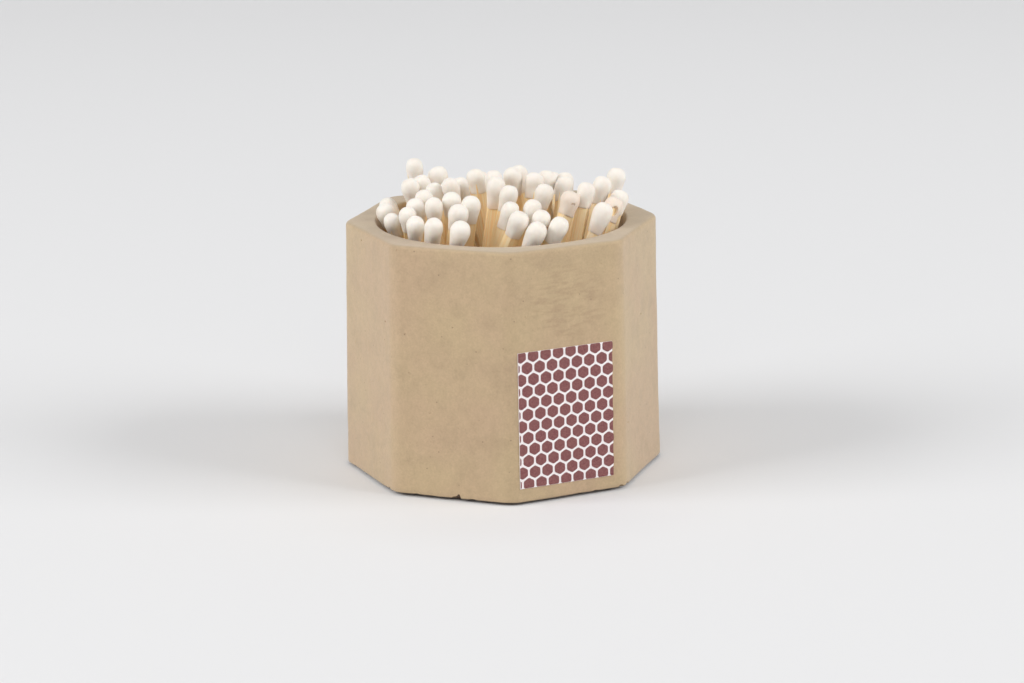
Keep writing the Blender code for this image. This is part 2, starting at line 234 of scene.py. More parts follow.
pot_low, pot_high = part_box("pot")
pot_points = np.array([corner.co for corner in frame["nodes"]["pot"].data.vertices])
pot_radii = np.hypot(pot_points[:, 0], pot_points[:, 1])
pot_height = pot_high.z
across_flats = pot_high.x - pot_low.x
well_radius = pot_radii[pot_points[:, 2] > pot_height / 2].min()
inside_well = (pot_radii < well_radius - NEAR) & (pot_points[:, 2] > NEAR)
well_floor = pot_points[inside_well, 2].min()
half_side = math.pi / SIDES
face_lean = math.atan2(RIM_DRAW_IN, pot_height)
print(f"pot {across_flats / MM:.1f} mm across flats, {pot_height / MM:.1f} mm high")
print(f"well {2 * well_radius / MM:.1f} mm across, its floor {well_floor / MM:.1f} mm up")

# %% [markdown]
# ## The pot's outside
#
# The block could be a lathe shape or a sculpt, but the casting is a plain prism with soft edges,
# and Bevel makes exactly that. The corners come first, while the block has only eight upright
# edges. Then the faces are cut into a fine grid, so that they can wave like a real casting.

# %% The eight-sided block
CORNER_STEPS = 8
EDGE_STEPS = 4
BASE_EDGE_STEPS = 2
FACE_COLUMNS = 24
FACE_ROWS = 56

bpy.ops.mesh.primitive_cylinder_add(
    vertices=SIDES,
    radius=across_flats / 2 / math.cos(half_side),
    depth=pot_height - BASE_GAP,
    location=(0, 0, (pot_height + BASE_GAP) / 2),
    rotation=(0, 0, half_side),
)
pot = bpy.context.object
pot.name = "pot_casting"
bpy.ops.object.transform_apply(location=True, rotation=True, scale=True)
bpy.ops.object.mode_set(mode="EDIT")

rim_share = 1 - RIM_DRAW_IN / (across_flats / 2)
pick(pot, "faces", lambda face: heights(face)[0] > pot_height - NEAR)
bpy.ops.transform.resize(value=(rim_share, rim_share, 1), center_override=(0, 0, pot_height))

pick(pot, "edges", lambda edge: height_span(edge) > pot_height / 2)
bpy.ops.mesh.bevel(offset=CORNER_RADIUS * math.tan(half_side), segments=CORNER_STEPS)
pick(pot, "edges", lambda edge: edge.calc_length() > CORNER_RADIUS and height_span(edge) < NEAR)
bpy.ops.mesh.subdivide(number_cuts=FACE_COLUMNS - 1)
pick(pot, "edges", lambda edge: heights(edge)[1] < BASE_GAP + NEAR)
bpy.ops.mesh.bevel(offset=BASE_EDGE_RADIUS, segments=BASE_EDGE_STEPS)
pick(pot, "edges", lambda edge: heights(edge)[0] > pot_height - NEAR)
bpy.ops.mesh.bevel(offset=RIM_EDGE_RADIUS, segments=EDGE_STEPS)
pick(pot, "edges", lambda edge: height_span(edge) > pot_height / 2)
bpy.ops.mesh.subdivide(number_cuts=FACE_ROWS - 1)
print("faces of the block:", len(bmesh.from_edit_mesh(pot.data).faces))

# %% The underside, in rings, and the open top
UNDERSIDE_RINGS = 12

foot_share = 1 - BASE_GAP_REACH / (across_flats / 2)
pick(pot, "faces", lambda face: heights(face)[1] < BASE_GAP + NEAR and len(face.verts) > SIDES)
bpy.ops.mesh.extrude_region_move(TRANSFORM_OT_translate={"value": (0, 0, -BASE_GAP)})
bpy.ops.transform.resize(value=(foot_share, foot_share, 1), center_override=(0, 0, 0))
for ring in range(UNDERSIDE_RINGS):
    ring_share = 1 - 1 / (UNDERSIDE_RINGS - ring + 1)
    bpy.ops.mesh.extrude_region_move()
    bpy.ops.transform.resize(value=(ring_share, ring_share, 1), center_override=(0, 0, 0))
bpy.ops.mesh.poke()
pick(pot, "faces", lambda face: heights(face)[0] > pot_height - NEAR and len(face.verts) > SIDES)
bpy.ops.mesh.delete(type="ONLY_FACE")
outer_loop = pick(pot, "edges", lambda edge: edge.is_boundary)
bpy.ops.object.mode_set(mode="OBJECT")
print("edges round the open top:", outer_loop)

# %% [markdown]
# ## The well
#
# The core that shaped the well was round, so its wall is turned, as on a lathe: a profile with an
# eased mouth and a rounded foot is spun about the pot's axis. It gets as many steps as the open
# top has edges, and then one bridge between the two loops makes the flat of the rim.

# %% The well, spun and bridged to the rim
WELL_ROWS = 40
RIM_ROWS = 5
FLOOR_RINGS = 10


def arc(centre_radius, centre_height, radius, start, end, steps):
    """Points of a profile along an arc, both ends included."""
    angles = [start + (end - start) * step / steps for step in range(steps + 1)]
    return [
        (centre_radius + radius * math.cos(angle), centre_height + radius * math.sin(angle))
        for angle in angles
    ]


eased_mouth = arc(
    well_radius + WELL_EDGE_RADIUS, pot_height - WELL_EDGE_RADIUS,
    WELL_EDGE_RADIUS, math.pi / 2, math.pi, EDGE_STEPS,
)
wall_top = pot_height - WELL_EDGE_RADIUS
wall_foot = well_floor + WELL_FILLET
wall_reach = wall_foot - wall_top
wall = [(well_radius, wall_top + wall_reach * row / WELL_ROWS) for row in range(1, WELL_ROWS)]
rounded_foot = arc(well_radius - WELL_FILLET, wall_foot, WELL_FILLET, 0, -math.pi / 2, EDGE_STEPS)
floor_line = [
    ((well_radius - WELL_FILLET) * (1 - ring / FLOOR_RINGS), well_floor)
    for ring in range(1, FLOOR_RINGS + 1)
]
profile = eased_mouth + wall + rounded_foot + floor_line

pot = joined([pot, turned("well", profile, outer_loop)])
bpy.ops.object.mode_set(mode="EDIT")
pick(pot, "edges", lambda edge: edge.is_boundary)
bpy.ops.mesh.bridge_edge_loops(number_cuts=RIM_ROWS, interpolation="LINEAR")
face_outward()
open_edges = pick(pot, "edges", lambda edge: not edge.is_manifold)
bpy.ops.object.mode_set(mode="OBJECT")
print("pot faces:", len(pot.data.polygons), "open edges:", open_edges)

# %% [markdown]
# ## The life of a casting
#
# No cast face is a true plane. The mould flexes, the mix shrinks, and the base edge crumbles where
# the pot is set down. Displace modifiers with cloud noise push the skin in and out by a fraction of
# a millimetre. Weights keep the place of the label flat, because paper was glued there, and let the
# base edge crumble most.

# %% The skin, waved by a fraction of a millimetre
BROAD_WAVE_SIZE = 16 * MM
BROAD_WAVE_DEPTH = 0.30 * MM
SMALL_WAVE_SIZE = 3.2 * MM
SMALL_WAVE_DEPTH = 0.10 * MM
WORN_EDGE_SIZE = 1.6 * MM
WORN_EDGE_DEPTH = 0.20 * MM
WORN_EDGE_REACH = 1.3 * MM
LABEL_CLEARANCE = 3 * MM

label_low, label_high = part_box("strike_label")
skin = pot.vertex_groups.new(name="skin")
worn_edge = pot.vertex_groups.new(name="worn_edge")
for corner in pot.data.vertices:
    x, y, z = corner.co
    outside_label = max(label_low.x - x, x - label_high.x, label_low.z - z, z - label_high.z, 0)
    on_label_face = y < -across_flats / 2 * math.cos(half_side)
    flatness = min(outside_label / LABEL_CLEARANCE, 1) if on_label_face else 1
    skin.add([corner.index], flatness, "REPLACE")
    low_share = max(0, 1 - z / WORN_EDGE_REACH)
    outer_share = min(1, max(0, (math.hypot(x, y) - well_radius) / (across_flats / 2 - well_radius)))
    worn_edge.add([corner.index], low_share * outer_share, "REPLACE")

add_waves(pot, "broad_waves", BROAD_WAVE_SIZE, BROAD_WAVE_DEPTH, group="skin", rest_level=0.55)
add_waves(pot, "small_waves", SMALL_WAVE_SIZE, SMALL_WAVE_DEPTH, group="skin", rest_level=0.5)
add_waves(pot, "worn_edge", WORN_EDGE_SIZE, WORN_EDGE_DEPTH, group="worn_edge", rest_level=0.75)
apply_modifiers(pot)

# %% [markdown]
# ## Air holes and chips
#
# Trapped air leaves pinholes in cast concrete, and hard knocks break flakes off its base. Both are
# cut out for real, with small rough lumps as tools, so that they catch the light and show in the
# outline. One lump is modelled and copied to every place. On the three faces on the viewer's left
# the holes and chips lie where the picture shows them, with a few more small holes by chance, and
# on the other five faces they all lie by chance.

# %% One rough lump as a cutting tool
LUMP_ROUGHNESS_SHARE = 0.35
LUMP_WAVE_SHARE = 0.9

bpy.ops.mesh.primitive_ico_sphere_add(subdivisions=2, radius=1)
lump = bpy.context.object
lump.name = "lump"
add_waves(lump, "lump_waves", LUMP_WAVE_SHARE, LUMP_ROUGHNESS_SHARE)
apply_modifiers(lump)


def wall_place(face, across, height):
    """A point on one of the pot's faces, and how that face is turned. Face 0 carries the label."""
    turn = Matrix.Rotation(face * 2 * half_side, 4, "Z")
    out = across_flats / 2 - height * math.tan(face_lean)
    return turn @ Vector((across, -out, height)), turn


def lump_at(face, across, height, radii):
    """A copy of the lump on a face, squeezed to its radii across, into and up the face."""
    place, turn = wall_place(face, across, height)
    tool = copied(lump, "tool")
    tool.data.transform(Matrix.Translation(place) @ turn @ Matrix.Diagonal((*radii, 1)))
    return tool


# %% Where the holes and chips are
SEEN_HOLES_MM = (
    (-1, -9.8, 44.2, 0.20), (-1, -8.6, 29.4, 0.16), (-1, -4.1, 15.6, 0.15), (-1, 1.2, 13.3, 0.11),
    (-1, -10.2, 11.7, 0.17), (-1, 0.3, 31.3, 0.12), (-1, -7.9, 22.6, 0.13), (-1, 8.1, 18.3, 0.11),
    (-1, 9.6, 12.0, 0.11), (-1, -1.1, 14.8, 0.09), (-1, -4.6, 3.2, 0.12), (-1, -8.0, 4.0, 0.10),
    (-2, 1.4, 18.4, 0.12), (0, -7.9, 33.6, 0.10), (0, 6.9, 41.3, 0.10), (0, 10.2, 22.0, 0.12),
    (0, 10.3, 36.6, 0.09), (0, 10.5, 32.8, 0.13), (0, 10.4, 31.4, 0.10), (0, 10.0, 29.2, 0.09),
    (0, 10.4, 25.3, 0.09), (0, 10.6, 17.6, 0.10), (0, 10.3, 13.1, 0.09), (0, 10.1, 8.8, 0.10),
)
SEEN_CHIPS_MM = (
    (-1, 1.0, 0.66, (0.45, 0.90, 0.72)),
    (-1, 0.6, 0.56, (1.05, 0.90, 0.48)),
    (-1, 3.6, 0.50, (0.80, 0.60, 0.26)),
    (-1, -6.9, 0.54, (0.50, 0.50, 0.30)),
    (0, 10.4, 0.60, (0.70, 0.70, 0.45)),
    (0, 5.2, 0.52, (0.60, 0.50, 0.26)),
    (-2, 8.6, 0.54, (0.60, 0.60, 0.40)),
)
CHANCE_FACES = (1, 2, 3, 4, 5)
HOLES_ON_A_CHANCE_FACE = 11
MORE_HOLES_ON_A_READ_FACE = 3
HOLE_RADII_MM = (0.08, 0.22)
CHANCE_CHIP_RADII_MM = (0.4, 0.8)
CHANCE_CHIP_HEIGHT_SHARE = 0.7
HOLE_SEED = 8
FACE_HALF_WIDTH = across_flats / 2 * math.tan(half_side)

chance = random.Random(HOLE_SEED)
tools = [lump_at(face, x * MM, z * MM, (r * MM, r * MM, r * MM)) for face, x, z, r in SEEN_HOLES_MM]
chip_tools = [
    lump_at(face, x * MM, z * MM, [r * MM for r in radii])
    for face, x, z, radii in SEEN_CHIPS_MM
]
for face in range(SIDES):
    chance_holes = HOLES_ON_A_CHANCE_FACE if face in CHANCE_FACES else MORE_HOLES_ON_A_READ_FACE
    for _ in range(chance_holes):
        across = chance.uniform(-FACE_HALF_WIDTH, FACE_HALF_WIDTH)
        height = chance.uniform(0, pot_height)
        # Squared, so that most holes are small
        radius = chance.uniform(*HOLE_RADII_MM) ** 2 / HOLE_RADII_MM[1] * MM
        under_label = face == 0 and abs(across) < label_high.x and height < label_high.z
        if not under_label:
            tools.append(lump_at(face, across, height, (radius, radius, radius)))
for face in CHANCE_FACES:
    across = chance.uniform(-FACE_HALF_WIDTH, FACE_HALF_WIDTH)
    size = chance.uniform(*CHANCE_CHIP_RADII_MM) * MM
    tools.append(lump_at(face, across, BASE_GAP, (size, size, size * CHANCE_CHIP_HEIGHT_SHARE)))
print("holes and chips:", len(tools) + len(chip_tools))

# %% Cut them out of the pot
def bite_out(piece, tool):
    """Cut a tool out of a piece, and put the tool away."""
    bite = piece.modifiers.new("bite", "BOOLEAN")
    bite.operation = "DIFFERENCE"
    bite.solver = "EXACT"
    bite.object = tool
    apply_modifiers(piece)
    bpy.data.objects.remove(tool)


bite_out(pot, joined(tools))
for tool in chip_tools:
    bite_out(pot, tool)
shade_smooth(pot)
print("pot faces:", len(pot.data.polygons))

# %% [markdown]
# ## Materials: a few helpers
#
# Colours are written as sRGB hex values, as a paint chart gives them, and turned into linear light
# in one place. One function adds a node with its settings, values and links. Three nodes come up
# again and again, so each has a short name: noise of a given size, a ramp that turns a stretch of
# a value into a share, and a mix of two colours by a share.

# %% Colours and nodes
def colour(code):
    """An sRGB hex colour as the linear red, green, blue and alpha that a shader takes."""
    channels = [int(code[start:start + 2], 16) / 255 for start in (1, 3, 5)]
    linear = [
        level / 12.92 if level <= 0.04045 else ((level + 0.055) / 1.055) ** 2.4
        for level in channels
    ]
    return (*linear, 1)


def new_material(name):
    """A material, and its Principled shader."""
    material = bpy.data.materials.new(name)
    material.use_nodes = True
    return material, material.node_tree.nodes["Principled BSDF"]


def add(material, kind, takes, **settings):
    """Add a node: its settings, then for each socket a plain value or another node's output."""
    made = material.node_tree.nodes.new("ShaderNode" + kind)
    for name, value in settings.items():
        setattr(made, name, value)
    fill(material, made, takes)
    return made


def fill(material, node, takes):
    """Give sockets of a node their values or links."""
    for socket, given in takes.items():
        if isinstance(given, bpy.types.NodeSocket):
            material.node_tree.links.new(given, node.inputs[socket])
        else:
            node.inputs[socket].default_value = given


# %% The three nodes that come up again and again
# The Mix node's sockets go by number, because its number, vector and colour sockets share names
MIX_SHARE = 0
MIX_FIRST_COLOUR = 6
MIX_SECOND_COLOUR = 7
MIX_COLOUR_RESULT = 2


def noise(material, place, size, detail, roughness=0.5):
    """Cloud noise between 0 and 1, in clouds of about a given size."""
    clouds = add(
        material, "TexNoise",
        {"Vector": place, "Scale": 1 / size, "Detail": detail, "Roughness": roughness},
    )
    return clouds.outputs["Fac"]


def ramp(material, value, start, end, top=1.0, bottom=0.0):
    """A share that goes from bottom to top while a value goes from start to end."""
    mapped = add(
        material, "MapRange",
        {"Value": value, "From Min": start, "From Max": end, "To Min": bottom, "To Max": top},
    )
    return mapped.outputs[0]


def mixed(material, share, first, second):
    """The first colour, giving way to the second by a share."""
    mix = add(
        material, "Mix",
        {MIX_SHARE: share, MIX_FIRST_COLOUR: first, MIX_SECOND_COLOUR: second},
        data_type="RGBA",
    )
    return mix.outputs[MIX_COLOUR_RESULT]


# %% [markdown]
# ## Cast concrete
#
# Pigmented concrete is a fine mortar: sand in cement, pressed against a smooth mould and never
# polished. To the eye it is dull with a soft bloom at a grazing angle, sandy up close, and clouded
# where water and pigment gathered. Noise at four sizes, from clouds as wide as a thumb down to the
# grit, says that better than a picture would, and it never repeats. Three things are tied to a
# place: matches that missed the label have rubbed the face above it, the rim is paler than the
# faces, and painted shade darkens the concrete under the base edge and inside its deepest chip.

# %% Cast concrete
CLOUD_SIZE = 15 * MM
BLOTCH_SIZE = 4.5 * MM
MOTTLE_SIZE = 1.3 * MM
GRIT_SIZE = 0.35 * MM
SPECK_SPACING = 2.4 * MM
SPECK_SHARE = 0.075
RUB_MIDDLE = (0.1 * MM, -26 * MM, 35.5 * MM)
RUB_REACH = (9.5 * MM, 9.5 * MM, 8.5 * MM)
RUB_STREAK = (3.2 * MM, 3.2 * MM, 0.7 * MM)

concrete, shader = new_material("cast_concrete")
place = add(concrete, "TexCoord", {}).outputs["Object"]
height = add(concrete, "SeparateXYZ", {0: place}).outputs["Z"]
clouds = noise(concrete, place, CLOUD_SIZE, 2.0)
blotches = noise(concrete, place, BLOTCH_SIZE, 3.0, roughness=0.6)
mottle = noise(concrete, place, MOTTLE_SIZE, 3.0, roughness=0.65)
grit = noise(concrete, place, GRIT_SIZE, 2.0)

cloud_share = ramp(concrete, clouds, 0.38, 0.62)
sand = mixed(concrete, cloud_share, colour("#BEA682"), colour("#BDA282"))
blotch_share = ramp(concrete, blotches, 0.48, 0.72, top=0.45)
clouded = mixed(concrete, blotch_share, sand, colour("#AB9474"))

rub_place = add(
    concrete, "Mapping",
    {
        "Vector": place,
        "Location": [-middle / reach for middle, reach in zip(RUB_MIDDLE, RUB_REACH)],
        "Scale": [1 / reach for reach in RUB_REACH],
    },
)
rub_zone = add(concrete, "TexGradient", {"Vector": rub_place.outputs[0]}, gradient_type="SPHERICAL")
rub_streaks = add(concrete, "Mapping", {"Vector": place, "Scale": [1 / size for size in RUB_STREAK]})
rub_marks = ramp(concrete, noise(concrete, rub_streaks.outputs[0], 1, 3.0), 0.42, 0.62)
rub_there = ramp(concrete, rub_zone.outputs["Fac"], 0, 0.45, top=0.38)
rub_share = add(concrete, "Math", {0: rub_marks, 1: rub_there}, operation="MULTIPLY")
rubbed = mixed(concrete, rub_share.outputs[0], clouded, colour("#A3886A"))

mottle_light = ramp(concrete, mottle, 0.35, 0.65, bottom=0.965, top=1.035)
grit_light = ramp(concrete, grit, 0.3, 0.7, bottom=0.95, top=1.05)
speckled = add(concrete, "Math", {0: mottle_light, 1: grit_light}, operation="MULTIPLY")
sandy = add(concrete, "VectorMath", {0: rubbed, "Scale": speckled.outputs[0]}, operation="SCALE")
specks = add(concrete, "TexVoronoi", {"Vector": place, "Scale": 1 / SPECK_SPACING}, feature="F1")
speck_share = ramp(concrete, specks.outputs["Distance"], SPECK_SHARE, SPECK_SHARE / 3, top=0.55)
dotted = mixed(concrete, speck_share, sandy.outputs[0], colour("#6E5742"))

# %% The paler rim, and painted shade under the base edge and inside the deepest chip
FOOT_SHADE_FROM = BASE_GAP + 0.3 * MM
FOOT_SHADE_TO = BASE_GAP - 0.05 * MM
RIM_TONE_FROM = pot_height - RIM_EDGE_RADIUS / 2
RIM_TONE_TO = pot_height - RIM_EDGE_RADIUS / 10
CHIP_SHADE_REACH = 1.1 * MM
CHIP_SHADE_DEPTH = 0.9 * MM

rim_tone = ramp(concrete, height, RIM_TONE_FROM, RIM_TONE_TO, top=0.50)
rimmed = mixed(concrete, rim_tone, dotted, colour("#AC9A80"))
# Painted shade: the concrete darkens towards the underside of the base edge, where the contact shadow
# falls
foot_painted_shade = ramp(concrete, height, FOOT_SHADE_FROM, FOOT_SHADE_TO, top=0.85)
foot_shaded = mixed(concrete, foot_painted_shade, rimmed, colour("#5C4A40"))

# Painted shade: the inside of the deepest chip is darkened, where its recess lies in shade
chip_face, chip_across, chip_height, _ = SEEN_CHIPS_MM[0]
chip_spot, chip_turn = wall_place(chip_face, chip_across * MM, chip_height * MM)
chip_middle = chip_spot + chip_turn @ Vector((0, CHIP_SHADE_DEPTH, 0))
chip_place = add(
    concrete, "Mapping",
    {"Vector": place, "Location": -chip_middle / CHIP_SHADE_REACH, "Scale": [1 / CHIP_SHADE_REACH] * 3},
)
chip_zone = add(concrete, "TexGradient", {"Vector": chip_place.outputs[0]}, gradient_type="SPHERICAL")
chip_shade = ramp(concrete, chip_zone.outputs["Fac"], 0.2, 0.5, top=0.8)
chip_shaded = mixed(concrete, chip_shade, foot_shaded, colour("#5A4334"))

# %% The relief of the grit, and the finished material
fine_relief = add(concrete, "Bump", {"Height": grit, "Strength": 0.35, "Distance": 0.06 * MM})
relief = add(
    concrete, "Bump",
    {"Height": mottle, "Strength": 0.5, "Distance": 0.12 * MM, "Normal": fine_relief.outputs[0]},
)
fill(concrete, shader, {
    "Base Color": chip_shaded,
    "Roughness": 0.72,
    "IOR": 1.52,
    "Sheen Weight": 0.32,
    "Sheen Roughness": 0.5,
    "Normal": relief.outputs[0],
})
pot.data.materials.clear()
pot.data.materials.append(concrete)
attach(pot, "pot")
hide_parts("pot")
print("nodes of cast concrete:", len(concrete.node_tree.nodes))

# %% [markdown]
# ## The striking label
#
# The label is a cut from a printed sheet: white paper with a honeycomb of six-sided dots of
# striking compound, red phosphorus and powdered glass in glue. The knife went through the pattern
# anywhere, so the dots at its edges are cut. One dot is modelled, copied over the sheet, and the
# four edges are cut with Bisect, as the knife did.

# %% The paper sheet
PAPER_THICKNESS = 0.12 * MM
PAPER_LIFT = 0.03 * MM
PAPER_COLUMNS = 18
PAPER_ROWS = 24

label_width = label_high.x - label_low.x
lean = Matrix.Rotation(-face_lean, 4, "X")
label_height = (label_high.z - label_low.z) / math.cos(face_lean)
label_middle_x = (label_high.x + label_low.x) / 2
label_middle_z = (label_high.z + label_low.z) / 2
wall_behind, _ = wall_place(0, label_middle_x, label_middle_z)
label_place = Matrix.Translation(wall_behind) @ lean

bpy.ops.mesh.primitive_cube_add(size=1)
paper = bpy.context.object
paper.name = "label_paper"
paper.data.transform(Matrix.Diagonal((label_width, PAPER_THICKNESS, label_height, 1)))
paper.data.transform(Matrix.Translation((0, -PAPER_LIFT - PAPER_THICKNESS / 2, 0)))
bpy.ops.object.mode_set(mode="EDIT")
pick(paper, "edges", lambda edge: abs(edge.verts[0].co.x - edge.verts[1].co.x) > label_width / 2)
bpy.ops.mesh.subdivide(number_cuts=PAPER_COLUMNS - 1)
pick(paper, "edges", lambda edge: abs(edge.verts[0].co.z - edge.verts[1].co.z) > label_height / 2)
bpy.ops.mesh.subdivide(number_cuts=PAPER_ROWS - 1)
bpy.ops.object.mode_set(mode="OBJECT")

# %% One dot of striking compound
DOT_PITCH = 2.4 * MM
DOT_ACROSS_FLATS = 2.0 * MM
DOT_CORNER = 0.24 * MM
DOT_RAISE = 0.05 * MM
DOT_SIDES = 6
DOT_CORNER_STEPS = 4
DOT_EASE = 0.03 * MM
DOT_EASE_DEPTH = DOT_EASE / 3
FIRST_DOT_FROM_LEFT = 0.5 * MM
FIRST_DOT_FROM_TOP = 0.7 * MM
BARE_BORDER = 0.03 * MM

dot_back = -PAPER_LIFT - PAPER_THICKNESS / 2
dot_front = -PAPER_LIFT - PAPER_THICKNESS - DOT_RAISE
bpy.ops.mesh.primitive_cylinder_add(
    vertices=DOT_SIDES,
    radius=DOT_ACROSS_FLATS / math.sqrt(3),
    depth=dot_back - dot_front,
    location=(0, (dot_back + dot_front) / 2, 0),
    rotation=(math.pi / 2, 0, 0),
)
dot = bpy.context.object
dot.name = "dot"
bpy.ops.object.transform_apply(location=True, rotation=True, scale=True)
bpy.ops.object.mode_set(mode="EDIT")
pick(dot, "edges", lambda edge: abs(edge.verts[0].co.y - edge.verts[1].co.y) > NEAR)
bpy.ops.mesh.bevel(offset=DOT_CORNER, segments=DOT_CORNER_STEPS)
pick(dot, "faces", lambda face: all(corner.co.y < dot_front + NEAR / 2 for corner in face.verts))
bpy.ops.mesh.inset(thickness=DOT_EASE)
bpy.ops.transform.translate(value=(0, -DOT_EASE_DEPTH, 0))
bpy.ops.object.mode_set(mode="OBJECT")

# %% The honeycomb, cut at the sheet's edges
row_pitch = DOT_PITCH * math.sin(math.pi / 3)
rows = math.ceil(label_height / row_pitch) + 1
columns = math.ceil(label_width / DOT_PITCH) + 2
edge_x = label_width / 2 - BARE_BORDER
edge_z = label_height / 2 - BARE_BORDER
dots = []
for row in range(rows):
    z = label_height / 2 - FIRST_DOT_FROM_TOP - row * row_pitch
    for column in range(-1, columns):
        x = -label_width / 2 + FIRST_DOT_FROM_LEFT + (column + row % 2 / 2) * DOT_PITCH
        if abs(x) < edge_x + DOT_ACROSS_FLATS / 2 and abs(z) < edge_z + DOT_ACROSS_FLATS / 2:
            printed = copied(dot, "printed_dot")
            printed.data.transform(Matrix.Translation((x, 0, z)))
            dots.append(printed)
print("dots:", len(dots))
honeycomb = joined(dots)
honeycomb.name = "label_striking_dots"
bpy.data.objects.remove(dot)
bpy.ops.object.mode_set(mode="EDIT")
knife_cuts = (((1, 0, 0), edge_x), ((-1, 0, 0), edge_x), ((0, 0, 1), edge_z), ((0, 0, -1), edge_z))
for normal, reach in knife_cuts:
    bpy.ops.mesh.select_all(action="SELECT")
    bpy.ops.mesh.bisect(plane_co=Vector(normal) * reach, plane_no=normal, use_fill=True, clear_outer=True)
face_outward()
bpy.ops.object.mode_set(mode="OBJECT")
for piece in (paper, honeycomb):
    piece.data.transform(label_place)

# %% [markdown]
# Coated paper is bright and nearly smooth. The compound is dull and gritty, with powdered glass
# that makes paler specks, and it is printed thinner in some places than in others.

# %% Label paper and striking compound
COMPOUND_GRIT = 0.26 * MM
COMPOUND_CLOUD = 1.1 * MM

label_paper, shader = new_material("coated_label_paper")
place = add(label_paper, "TexCoord", {}).outputs["Object"]
fibres = ramp(label_paper, noise(label_paper, place, COMPOUND_GRIT, 3.0), 0.3, 0.7)
paper_white = mixed(label_paper, fibres, colour("#FDF8F8"), colour("#F6EFEF"))
fill(label_paper, shader, {"Base Color": paper_white, "Roughness": 0.55, "IOR": 1.5})
paper.data.materials.append(label_paper)

compound, shader = new_material("striking_compound")
place = add(compound, "TexCoord", {}).outputs["Object"]
glass = noise(compound, place, COMPOUND_GRIT, 4.0, roughness=0.7)
thin = noise(compound, place, COMPOUND_CLOUD, 2.0)
red = mixed(compound, ramp(compound, glass, 0.35, 0.68), colour("#723C41"), colour("#95635F"))
printed_red = mixed(compound, ramp(compound, thin, 0.35, 0.7, top=0.6), red, colour("#835452"))
gritty = add(compound, "Bump", {"Height": glass, "Strength": 0.5, "Distance": 0.04 * MM})
fill(compound, shader, {
    "Base Color": printed_red,
    "Roughness": 0.8,
    "IOR": 1.5,
    "Normal": gritty.outputs[0],
})
honeycomb.data.materials.append(compound)
for piece in (paper, honeycomb):
    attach(piece, "pot")
    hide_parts("strike_label")
print("nodes of paper and compound:", len(label_paper.node_tree.nodes), len(compound.node_tree.nodes))

# %% [markdown]
# ## One match
#
# A match is a square splint, chopped from a peeled ribbon of poplar, with its end dipped twice in
# wet compound. The splint is a long block with slightly broken edges. The head is pulled to a pear
# by its own weight as it dries hanging down: thickest past the middle, thin where it leaves the
# wood, and square there, because it wraps the square splint.

# %% Where each match stands, read from the frame
joints = {joint["child"]: joint for joint in frame["joints"]}
match_names = sorted(name for name in frame["nodes"] if name in joints)


def match_place(name):
    """The placement of a match: its foot's middle, with its length along +Z."""
    axis = Vector(joints[name]["axis"]).normalized()
    corners = [corner.co for corner in frame["nodes"][name].data.vertices]
    foot_level = min(corner.dot(axis) for corner in corners)
    foot = [corner for corner in corners if corner.dot(axis) < foot_level + NEAR]
    middle = (Vector(map(min, *foot)) + Vector(map(max, *foot))) / 2
    to_others = [corner - foot[0] for corner in foot if (corner - foot[0]).length > NEAR]
    side = min(to_others, key=lambda step: step.length).normalized()
    rotation = Matrix((side, axis.cross(side), axis)).transposed()
    return Matrix.Translation(middle) @ rotation.to_4x4()


places = {name: match_place(name) for name in match_names}
first_corners = frame["nodes"][match_names[0]].data.vertices
local_points = np.array([places[match_names[0]].inverted() @ corner.co for corner in first_corners])
match_length = local_points[:, 2].max()
splint_width = 2 * local_points[local_points[:, 2] < NEAR, 0].max()
head_radius = np.hypot(local_points[:, 0], local_points[:, 1]).max()
print(f"{len(places)} matches, {match_length / MM:.1f} mm long, splint {splint_width / MM:.2f} mm square")

# %% The splint
HEAD_LENGTH = 5.2 * MM
HEAD_TIP_WALL = 1.9 * MM
SPLINT_EDGE = 0.09 * MM
SPLINT_EDGE_STEPS = 2
SPLINT_PARTS = 14

neck = match_length - HEAD_LENGTH
splint_length = match_length - HEAD_TIP_WALL
bpy.ops.mesh.primitive_cube_add(size=1)
splint = bpy.context.object
splint.name = "splint"
splint.data.transform(Matrix.Diagonal((splint_width, splint_width, splint_length, 1)))
splint.data.transform(Matrix.Translation((0, 0, splint_length / 2)))
bpy.ops.object.mode_set(mode="EDIT")
pick(splint, "edges", lambda edge: height_span(edge) > splint_length / 2)
bpy.ops.mesh.bevel(offset=SPLINT_EDGE, segments=SPLINT_EDGE_STEPS)
pick(splint, "edges", lambda edge: height_span(edge) > splint_length / 2)
bpy.ops.mesh.subdivide(number_cuts=SPLINT_PARTS - 1)
bpy.ops.object.mode_set(mode="OBJECT")

# %% The head
HEAD_OUTLINE_SHARES = (
    (0.00, 1.00), (0.48, 0.985), (0.78, 0.92), (0.97, 0.80), (1.04, 0.67), (1.03, 0.54),
    (0.93, 0.38), (0.83, 0.21), (0.77, 0.06), (0.73, 0.00), (0.66, 0.00), (0.00, 0.00),
)
HEAD_STEPS = 16
SQUARE_UP_TO_SHARE = 0.40
SQUAREST = 1.26

head_outline = [(head_radius * r, neck + HEAD_LENGTH * h) for r, h in HEAD_OUTLINE_SHARES]
head = turned("head", head_outline, HEAD_STEPS)
bpy.ops.object.mode_set(mode="EDIT")
face_outward()
bpy.ops.object.mode_set(mode="OBJECT")
for corner in head.data.vertices:
    share = (corner.co.z - neck) / HEAD_LENGTH
    squareness = max(0, 1 - share / SQUARE_UP_TO_SHARE)
    radius = math.hypot(corner.co.x, corner.co.y)
    if radius > NEAR:
        square = radius / max(abs(corner.co.x), abs(corner.co.y))
        stretch = 1 + (min(square, SQUAREST) - 1) * squareness
        corner.co.x *= stretch
        corner.co.y *= stretch
print("head faces before smoothing:", len(head.data.polygons))

